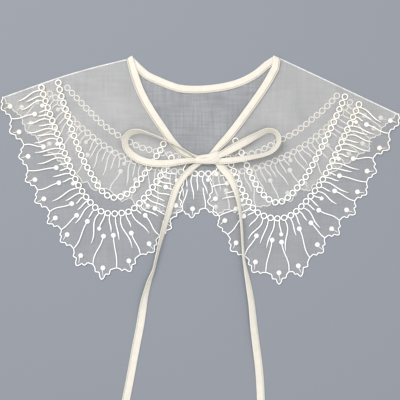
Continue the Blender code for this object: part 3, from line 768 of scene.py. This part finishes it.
NEARLY_PARALLEL = 1e-9


def distance_to_edge(start, direction, edge):
    """How far it is from a point to a line of edge points, along a direction."""
    span, away = edge[1:] - edge[:-1], edge[:-1] - start
    turn = direction[0] * span[:, 1] - direction[1] * span[:, 0]
    turn = np.where(np.abs(turn) < NEARLY_PARALLEL, NEARLY_PARALLEL, turn)
    reach = (away[:, 0] * span[:, 1] - away[:, 1] * span[:, 0]) / turn
    share = (away[:, 0] * direction[1] - away[:, 1] * direction[0]) / turn
    met = reach[(share >= 0) & (share <= 1) & (reach > 0)]
    return met.min() if len(met) else math.inf


def curved(start, direction, length, bend):
    """A gently S-shaped path from a point, in plan."""
    share = np.linspace(0, 1, TWIG_POINTS)[:, None]
    sideways = np.array((-direction[1], direction[0]))
    sway = length * bend * (1.2 * share ** 2 - 0.3 * np.sin(2 * math.pi * share))
    return start + direction * length * share + sideways * sway


FRONT_LEAN = ((0.0, 0.07, 0.15, 0.35, 0.56, 1.0), (-2.0, 8.0, 22.0, 22.0, 0.0, -8.0))
BACK_LEAN = ((0.0, 1.0), (0.0, 0.0))
chain_named = {chain.name: chain for chain in CHAINS}
Border = namedtuple("Border", "name scallops edge chain outward_hand lean lift plain_stems")
BORDERS = (
    Border("twigs_left", FRONT_LEFT_SCALLOPS, left_front_edge, chain_named["rings_left_outer"], 1,
           FRONT_LEAN, FRONT_TWIG_LIFT, ()),
    Border("twigs_right", FRONT_RIGHT_SCALLOPS, right_front_edge, chain_named["rings_right_outer"], -1,
           FRONT_LEAN, FRONT_TWIG_LIFT, ()),
    Border("twigs_back", BACK_SCALLOPS, back_edge, chain_named["rings_back_outer"], 1,
           BACK_LEAN, BACK_TWIG_LIFT, PLAIN_BACK_STEMS),
)


class BorderWork:
    """The work between an outer chain and its scalloped edge: stems, tip dots and then twigs."""

    def __init__(self, border):
        self.border = border
        self.heights = border.chain.heights
        self.sewing = Stitching()
        self.line = smooth_rows(border.chain.line, CHAIN_STEP)
        self.lengths = lengths_along(self.line)
        lean = np.radians(np.interp(self.lengths / self.lengths[-1], *border.lean))[:, None]
        ahead = plan_directions(self.line)
        self.outward = right_hand(ahead) * border.outward_hand * np.cos(lean) - ahead * np.sin(lean)
        self.taken = []

    def inward_from(self, place):
        """The way from a place on the edge back to the chain that faces it, and how far it is."""
        offsets = place - self.line
        gaps = np.linalg.norm(offsets, axis=1)
        # The chain faces a place most squarely where this is largest, and nearer points count more
        facing = (offsets * self.outward).sum(axis=1) / gaps - gaps / NEARNESS_SPAN
        best = facing.argmax()
        return -offsets[best] / gaps[best], gaps[best]

    def stitch(self, path, half_width, taper):
        """Sews one tapered thread on the cloth."""
        widths = half_width * np.interp(np.linspace(0, 1, len(path)), *taper)
        laid = laid_on(self.heights, path, self.border.lift)
        self.sewing.thread(laid, widths, THREAD_FLATNESS * half_width)

    def stitch_apart(self, path, half_width, taper):
        """Sews one tapered thread that later ones keep clear of."""
        self.stitch(path, half_width, taper)
        self.taken += [(point, THREAD_ROOM) for point in path]

    def dot(self, middle, radius):
        """Sews a padded dot that later threads keep clear of."""
        self.sewing.dot(middle, radius, DOT_HEIGHT, self.heights)
        self.taken.append((middle, DOT_RADIUS))

    def sew_stems(self):
        """A stem that runs in from each notch, nearly always to a dot."""
        for index, scallop in enumerate(self.border.scallops[1:]):
            notch = np.array(scallop[:2])
            way, depth = self.inward_from(notch)
            length = depth * STEM_SHARES[index % len(STEM_SHARES)]
            bend = STEM_BENDS[index % len(STEM_BENDS)] * self.border.outward_hand
            path = curved(notch, way, length, bend)
            self.stitch_apart(path, STEM_HALF_WIDTH, STEM_TAPER)
            if index not in self.border.plain_stems:
                self.dot(path[-1], DOT_RADIUS)

    def sew_tip_dots(self):
        """A dot inside each tip, on a short stalk that runs out towards it."""
        for scallop in self.border.scallops:
            tip = np.array(scallop[2:])
            way, depth = self.inward_from(tip)
            inset = TIP_DOT_INSET + TIP_DOT_SHARE * depth
            middle = tip + way * inset
            stalk = curved(middle, -way, TIP_STALK_SHARE * inset, TIP_STALK_BEND)
            self.stitch(stalk, TIP_STALK_SHARE * STEM_HALF_WIDTH, TIP_STALK_TAPER)
            self.dot(middle, DOT_RADIUS)

    def clear_path(self, root, way, length, twig):
        """A twig's path, shortened until it keeps clear of all that is sewn already."""
        places = np.array([place for place, _ in self.taken])
        radii = np.array([radius for _, radius in self.taken])
        clearance = CLEARANCE + DOT_CLEARANCE * twig.dotted
        for shortening in TWIG_SHORTENINGS:
            path = curved(root, way, length * shortening, twig.bend * self.border.outward_hand)
            apart = np.linalg.norm(path[:, None] - places[None], axis=2) - radii
            if apart.min() > clearance:
                break
        return path

    def sew_twigs(self):
        """Twigs at an even pitch that grow from the outer rings."""
        ring_gap = self.lengths[-1] / round(self.lengths[-1] / RING_PITCH)
        for index, stop in enumerate(np.arange(TWIG_PITCH / 2, self.lengths[-1], TWIG_PITCH)):
            foot = points_at(stop, self.lengths, self.line)
            way = points_at(stop, self.lengths, self.outward)
            way /= np.linalg.norm(way)
            aside = abs(stop - round(stop / ring_gap) * ring_gap)
            root = foot + way * math.sqrt(max(0.0, RING_RADIUS ** 2 - aside ** 2))
            depth = distance_to_edge(root, way, self.border.edge)
            if not SHALLOWEST_BORDER <= depth < math.inf:
                continue
            twig = TWIGS[index % len(TWIGS)]
            path = self.clear_path(root, way, depth * twig.reach, twig)
            self.stitch_apart(path, TWIG_HALF_WIDTH, TWIG_TAPER)
            if twig.dotted:
                self.dot(path[-1], TWIG_DOT_RADIUS)


for border in BORDERS:
    work = BorderWork(border)
    work.sew_stems()
    work.sew_tip_dots()
    work.sew_twigs()
    slot_name = border.chain.node or THREAD_SLOT
    work.sewing.finish(border.name, white_thread, slot_name)

# The neck binding: a cream cotton bias strip, pressed in four and sewn over the raw neck edge
# with one line of stitching. It is folded at both shoulders together with the cloth.
BINDING_WALL = 1.6
BINDING_STEP = 2.5
BINDING_LAYER_GAP = 0.3
FLOOR_GAP = 0.03
FRONT_BINDING_HEIGHT = 2.1
SHOULDER_ROWS = 10
LEFT_BINDING_FOLD = ((-84.8, 142.9), (-92.4, 138.3))
RIGHT_BINDING_FOLD = ((91.5, 143.1), (101.0, 138.9))
STITCH_INSET = 1.5
STITCH_LENGTH = 1.9
STITCH_SPACING = 2.7
STITCH_HALF_WIDTHS = (0.16, 0.26, 0.26, 0.16)
STITCH_HALF_HEIGHT = 0.2
SEAM_HEIGHT = 0.4
WEAVE_PITCH = 0.8
STRIP_WIDTH = 10.0
PUCKER_POINTS = 11
PUCKER_HEIGHT = 3.2
CREAM_SHADOW = (0.575, 0.54, 0.455, 1)
CREAM_LIGHT = (0.715, 0.68, 0.60, 1)
# The darker colour along the line of stitching is painted shade in its pressed groove
SEAM_PAINTED_SHADE = (0.37, 0.34, 0.27, 1)


def strip_material():
    """Cream bias-cut cotton: its fine threads cross the strip on the slant, and the line of stitching
    is pressed into it. Along that line the colour is darker: painted shade in the pressed groove."""
    cotton = Material("cream_bias_strip", {"Roughness": 0.7, "Sheen Weight": 0.25,
                                           "Specular IOR Level": 0.25})
    place = cotton.add("ShaderNodeUVMap", "UV", {}, uv_map="thread")
    slants = []
    for turn in (45, -45):
        slant = cotton.add("ShaderNodeMapping", "Vector", {
            "Vector": place, "Rotation": (0, 0, math.radians(turn))})
        slants.append(cotton.bands(slant, WEAVE_PITCH, "X", 0.8, 1.5))
    weave = cotton.work_out("MULTIPLY", *slants)
    shade = cotton.work_out("MULTIPLY_ADD", weave, 0.6, cotton.noise(place, 0.12, 4.0))
    cream = cotton.mix(shade, CREAM_SHADOW, CREAM_LIGHT)
    from_edge = cotton.add("ShaderNodeSeparateXYZ", "Y", {"Vector": place})
    # Painted shade: the colour is darker close to the line of stitching
    off_seam = cotton.work_out("ABSOLUTE", cotton.work_out("SUBTRACT", from_edge, STITCH_INSET))
    colour = cotton.mix(cotton.rescale(off_seam, 0.2, 0.8), SEAM_PAINTED_SHADE, cream)
    return cotton.finish(colour, weave, 0.5, 0.0002)


cream_strip = strip_material()


def strip_profile(half_width, half_thickness):
    """The folded strip across its width: rounded edges, a line pressed in by the stitching, and
    lengthwise puckers where it is drawn in narrower than it was sewn."""
    seam = half_width - STITCH_INSET
    drawn_in = max(0.0, 1 - 2 * half_width / STRIP_WIDTH)
    upper = [(-half_width, 0.0), (0.3 - half_width, 0.75), (0.9 - half_width, 1.0)]
    for share in np.linspace(0, 1, PUCKER_POINTS):
        pucker = PUCKER_HEIGHT * drawn_in * math.sin(2.5 * math.pi * share) ** 2
        upper.append((1.2 - half_width + share * (seam + half_width - 2.0), 1.1 + pucker))
    upper += [(seam - 0.3, SEAM_HEIGHT), (seam + 0.3, SEAM_HEIGHT), (seam + 0.8, 1.0),
              (half_width - 0.2, 0.75), (half_width, 0.0)]
    return [(across, rise * half_thickness) for across, rise in upper] + [
        (across, -min(rise, 1.0) * half_thickness) for across, rise in reversed(upper[1:-1])]


def sew_strip(name, middles, across, widths, wall, seam_hand, slot_name):
    """A run of folded strip along its middle line, and the stitches that hold it."""
    face_up = unit(np.cross(unit(np.gradient(middles, axis=0)), -across))
    lengths = lengths_along(middles)
    points, uvs = [], []
    for middle, side, up, width, along in zip(middles, across, face_up, widths, lengths):
        profile = strip_profile(width / 2, wall / 2)
        for reach, rise in profile:
            points.append(middle + side * reach * seam_hand + up * rise)
            uvs.append((along, width / 2 - reach))
    sides = len(profile)
    faces = skin(0, len(middles), sides)
    faces.append(list(range(sides)))
    faces.append([len(points) - sides + corner for corner in reversed(range(sides))])
    if seam_hand < 0:
        faces = [face[::-1] for face in faces]
    strip = add_piece(name, points, faces, cream_strip, uvs)
    sewing = Stitching()
    seam = (middles + across * (widths[:, None] / 2 - STITCH_INSET) * seam_hand
            + face_up * (SEAM_HEIGHT * wall / 2 + STITCH_HALF_HEIGHT / 2))
    for start in np.arange(STITCH_SPACING, lengths[-1] - STITCH_SPACING, STITCH_SPACING):
        stops = np.linspace(start, start + STITCH_LENGTH, 4)
        sewing.thread(points_at(stops, lengths, seam), STITCH_HALF_WIDTHS, STITCH_HALF_HEIGHT,
                      sides=5)
    stitches = sewing.finish(name + "_stitches", white_thread, slot_name)
    return strip, stitches


def binding_stations():
    """Neck-side and cloth-side points all along the binding, front to front over both shoulders."""
    low = BINDING_WALL / 2 + FLOOR_GAP
    high = low + BINDING_WALL + BINDING_LAYER_GAP
    radius = (high - low) / 2

    def flat_run(table, neck_hand, heights):
        rows = smooth_rows(table, BINDING_STEP)
        across = right_hand(plan_directions(rows)) * neck_hand * rows[:, 2:] / 2
        rise = heights(len(rows))[:, None]
        return np.stack((np.hstack((rows[:, :2] + across, rise)),
                         np.hstack((rows[:, :2] - across, rise))), axis=1)

    def front_heights_down(count):
        falling = high - (high - FRONT_BINDING_HEIGHT) * np.arange(count) / SHOULDER_ROWS
        return np.maximum(FRONT_BINDING_HEIGHT, falling)

    def shoulder(fold, outward_hand):
        ends = np.array(fold)
        outward = right_hand(plan_directions(ends)) * outward_hand
        rows = []
        for turn in math.pi * np.arange(FOLD_STEPS + 1) / FOLD_STEPS:
            reach = ends + outward * radius * (math.sin(turn) - 1) - outward * low
            rows.append(np.column_stack((reach, np.full(2, low + radius - radius * math.cos(turn)))))
        return np.array(rows)

    left = (*LEFT_BINDING, BindingPoint(-2.5, 14.6, 7.0))
    right = (*RIGHT_BINDING, BindingPoint(13.5, 17.6, 7.0))
    return np.vstack((
        flat_run(left, -1, front_heights_down)[::-1],
        shoulder(LEFT_BINDING_FOLD, 1)[::-1],
        flat_run(BACK_BINDING, -1, lambda count: np.full(count, low)),
        shoulder(RIGHT_BINDING_FOLD, -1),
        flat_run(right, 1, front_heights_down),
    ))


stations = binding_stations()
binding_across = stations[:, 1] - stations[:, 0]
binding_widths = np.linalg.norm(binding_across, axis=1)
binding, _ = sew_strip(
    "neck_binding_strip", stations.mean(axis=1), unit(binding_across), binding_widths,
    BINDING_WALL, 1, "neck_binding")
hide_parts("neck_binding")

# The ties: the same strip runs on past the front corners as two free ends, sewn shut along one
# edge. They come out under the knot, turn on edge where they are pulled and then lie on the floor.
TIE_WALL = 1.2
TIE_STEP = 3.0
LOWEST_TIE = 0.05
Station = namedtuple("Station", "x y under lean width")
LEFT_TIE = [Station(*row) for row in (
    (2.0, 11.0, 2.0, 0, 6.0),
    (-4.3, 6.3, 2.0, 0, 6.4),
    (-6.6, 4.6, 2.1, 0, 6.6),
    (-12.6, -0.2, 2.6, 0, 7.2),
    (-19.4, -7.5, 2.8, 0, 7.6),
    (-27.5, -18.8, 2.8, 4, 8.0),
    (-33.3, -33.8, 2.8, 14, 8.2),
    (-39.4, -55.0, 3.0, 28, 8.0),
    (-46.4, -78.3, 1.5, 44, 8.0),
    (-51.1, -96.3, 1.4, 62, 7.0),
    (-55.7, -115.5, 0.2, 68, 6.5),
    (-57.8, -124.5, 0.05, 64, 6.5),
    (-63.0, -138.5, 0.05, 48, 8.0),
    (-68.6, -158.9, 0.05, 30, 9.0),
    (-71.5, -174.3, 0.05, 14, 9.8),
    (-75.0, -195.9, 0.05, 2, 10.0),
    (-78.8, -215.0, 0.05, 0, 10.0),
    (-83.1, -238.0, 0.05, 0, 10.0),
    (-88.3, -266.1, 0.05, 0, 10.0),
    (-92.5, -287.5, 0.05, 0, 10.0),
    (-98.1, -317.5, 0.05, 0, 10.0),
)]
RIGHT_TIE = [Station(*row) for row in (
    (17.4, 14.6, 2.6, 0, 7.6),
    (21.7, 9.8, 2.6, 0, 8.6),
    (23.4, 7.7, 2.6, 0, 8.8),
    (28.4, 1.6, 3.0, 0, 9.6),
    (34.9, -6.3, 3.9, 4, 9.4),
    (39.0, -12.8, 3.9, 10, 9.0),
    (42.6, -20.9, 3.9, 25, 8.5),
    (46.6, -34.3, 3.8, 46, 8.0),
    (49.6, -51.5, 3.2, 60, 7.5),
    (51.6, -70.6, 2.4, 65, 7.0),
    (52.9, -89.8, 1.5, 66, 7.0),
    (54.2, -108.9, 1.4, 64, 7.0),
    (55.9, -119.5, 1.4, 58, 7.2),
    (58.1, -131.6, 0.6, 45, 8.0),
    (61.4, -148.8, 0.05, 34, 9.0),
    (64.5, -169.1, 0.05, 28, 9.5),
    (67.1, -195.9, 0.05, 22, 10.0),
    (70.3, -221.4, 0.05, 14, 10.0),
    (73.5, -247.0, 0.05, 6, 10.0),
    (75.4, -272.5, 0.05, 0, 10.0),
    (76.0, -287.5, 0.05, 0, 10.0),
    (78.1, -317.5, 0.05, 0, 10.0),
)]


def ribbon(name, table, step, seam_hand, slot_name):
    """A length of tie that lies or leans as its stations say, and its middle line."""
    rows = smooth_rows(table, step)
    under, lean, widths = rows.T[2:]
    lean = np.radians(lean)
    rise = np.maximum(under, LOWEST_TIE) + widths / 2 * np.abs(np.sin(lean))
    rise += TIE_WALL / 2 * np.cos(lean)
    sideways = right_hand(plan_directions(rows))
    across = np.column_stack((sideways * np.cos(lean)[:, None], np.sin(lean)))
    middles = np.column_stack((rows[:, :2], rise))
    strip, stitches = sew_strip(name, middles, across, widths, TIE_WALL, seam_hand, slot_name)
    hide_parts(slot_name)
    return strip, stitches, middles


for name, table, seam_hand in (("tie_end_left", LEFT_TIE, 1), ("tie_end_right", RIGHT_TIE, -1)):
    tie, stitches, middles = ribbon(name.replace("_end", "_strip"), table, TIE_STEP, seam_hand, name)

# The bow loops: two loops of the same cotton strip, held by the knot alone. Each leans up on its
# side where it comes round, and lies flat on its way back.
LOOP_STEP = 2.5
LEFT_LOOP = [Station(*row) for row in (
    (-3.0, 14.5, 3.4, 84, 4.2),
    (-6.3, 16.6, 3.4, 85, 4.6),
    (-18.8, 24.4, 3.5, 84, 6.0),
    (-30.0, 30.0, 3.8, 83, 8.0),
    (-42.8, 36.4, 3.9, 82, 9.5),
    (-62.5, 43.9, 3.6, 78, 10.0),
    (-75.0, 47.4, 2.8, 64, 10.0),
    (-85.6, 45.8, 2.8, 52, 10.0),
    (-92.0, 39.0, 2.8, 45, 10.0),
    (-92.2, 29.6, 2.8, 40, 10.0),
    (-86.0, 20.0, 3.0, 28, 10.0),
    (-73.8, 12.1, 3.6, 16, 10.0),
    (-58.1, 8.2, 4.1, 10, 9.4),
    (-40.0, 7.9, 4.1, 6, 9.0),
    (-25.0, 10.0, 4.1, 2, 8.0),
    (-13.0, 11.4, 4.1, 0, 7.0),
    (-6.2, 11.6, 4.1, 0, 6.6),
    (-2.0, 11.6, 4.1, 0, 6.4),
)]
RIGHT_LOOP = [Station(*row) for row in (
    (16.0, 14.5, 5.8, 0, 6.4),
    (20.0, 16.3, 6.1, -4, 6.6),
    (31.3, 21.6, 6.1, -6, 9.0),
    (45.0, 29.0, 5.6, -10, 10.0),
    (60.0, 36.9, 4.6, -24, 10.0),
    (69.5, 42.0, 3.6, -41, 10.0),
    (84.0, 48.4, 3.0, -56, 10.0),
    (95.0, 44.8, 2.8, -62, 10.0),
    (97.4, 34.4, 2.8, -62, 10.0),
    (91.6, 25.2, 2.8, -60, 10.0),
    (80.9, 19.3, 3.2, -60, 10.0),
    (61.9, 15.2, 4.0, -52, 10.0),
    (39.2, 11.7, 4.3, -30, 9.4),
    (28.0, 10.8, 4.5, -8, 8.0),
    (20.0, 10.2, 4.5, 0, 6.6),
    (16.0, 10.2, 4.5, 0, 6.4),
)]
ribbon("loop_strip_left", LEFT_LOOP, LOOP_STEP, 1, "bow_loop_left")
ribbon("loop_strip_right", RIGHT_LOOP, LOOP_STEP, -1, "bow_loop_right")

# The knot: one turn of the tie wrapped round the middle of the bow and pulled tight. The strips
# gather in it at the left and fan out at the right, in soft folds that run across it.
KnotRing = namedtuple("KnotRing", "x y half_deep z half_tall")
KNOT = [KnotRing(*row) for row in (
    (-6.8, 12.3, 1.2, 4.8, 0.5), (-5.4, 12.5, 3.6, 4.9, 2.0),
    (-2.5, 12.7, 4.9, 5.0, 3.0), (3.0, 12.9, 5.8, 5.1, 3.5),
    (9.0, 13.2, 6.3, 5.1, 3.5), (14.0, 13.9, 6.9, 5.2, 3.2),
    (18.5, 15.0, 7.4, 5.4, 2.8), (22.0, 16.0, 6.8, 5.6, 2.2),
    (24.6, 16.9, 4.6, 5.8, 1.4), (25.6, 17.3, 1.5, 5.9, 0.6),
)]
KNOT_STEP = 0.7
KNOT_ROUND = 120
KNOT_FOLDS = 9
KNOT_FOLD_DEPTH = 0.3
KNOT_ROUNDING = 0.85
# KNOT_FOLD_SHADE sets how narrow the painted shade in each fold groove is
KNOT_FOLD_SHADE = 2.6
knot_rings = smooth_rows(KNOT, KNOT_STEP)
knot_points, knot_uvs = [], []
for x, y, half_deep, z, half_tall in knot_rings:
    for turn in np.arange(KNOT_ROUND) * 2 * math.pi / KNOT_ROUND:
        slant = KNOT_FOLDS * turn + 0.14 * x + 1.2 * math.sin(2 * turn + 0.15 * x)
        from_groove = abs(math.sin(slant / 2))
        fading = 0.5 + 0.5 * math.sin(0.21 * x + 5 * turn)
        fold = 1 - KNOT_FOLD_DEPTH * fading * max(0.0, 1 - 1.4 * from_groove)
        wide, tall = math.cos(turn), math.sin(turn)
        across = half_deep * fold * math.copysign(abs(wide) ** KNOT_ROUNDING, wide)
        up = half_tall * fold * math.copysign(abs(tall) ** KNOT_ROUNDING, tall)
        knot_points.append((x, y + across, z + up))
        # The strip's darker colour by its line of stitching is laid into each fold groove through the
        # UV, weaker where the fold fades: painted shade in the folds
        from_painted_fold_shade = 0.2 + KNOT_FOLD_SHADE * from_groove + 0.9 * (1 - fading)
        knot_uvs.append((x, STITCH_INSET + from_painted_fold_shade))
knot_faces = skin(0, len(knot_rings), KNOT_ROUND)
knot = add_piece("bow_knot_wrap", knot_points, knot_faces, cream_strip, knot_uvs)
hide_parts("bow_knot")
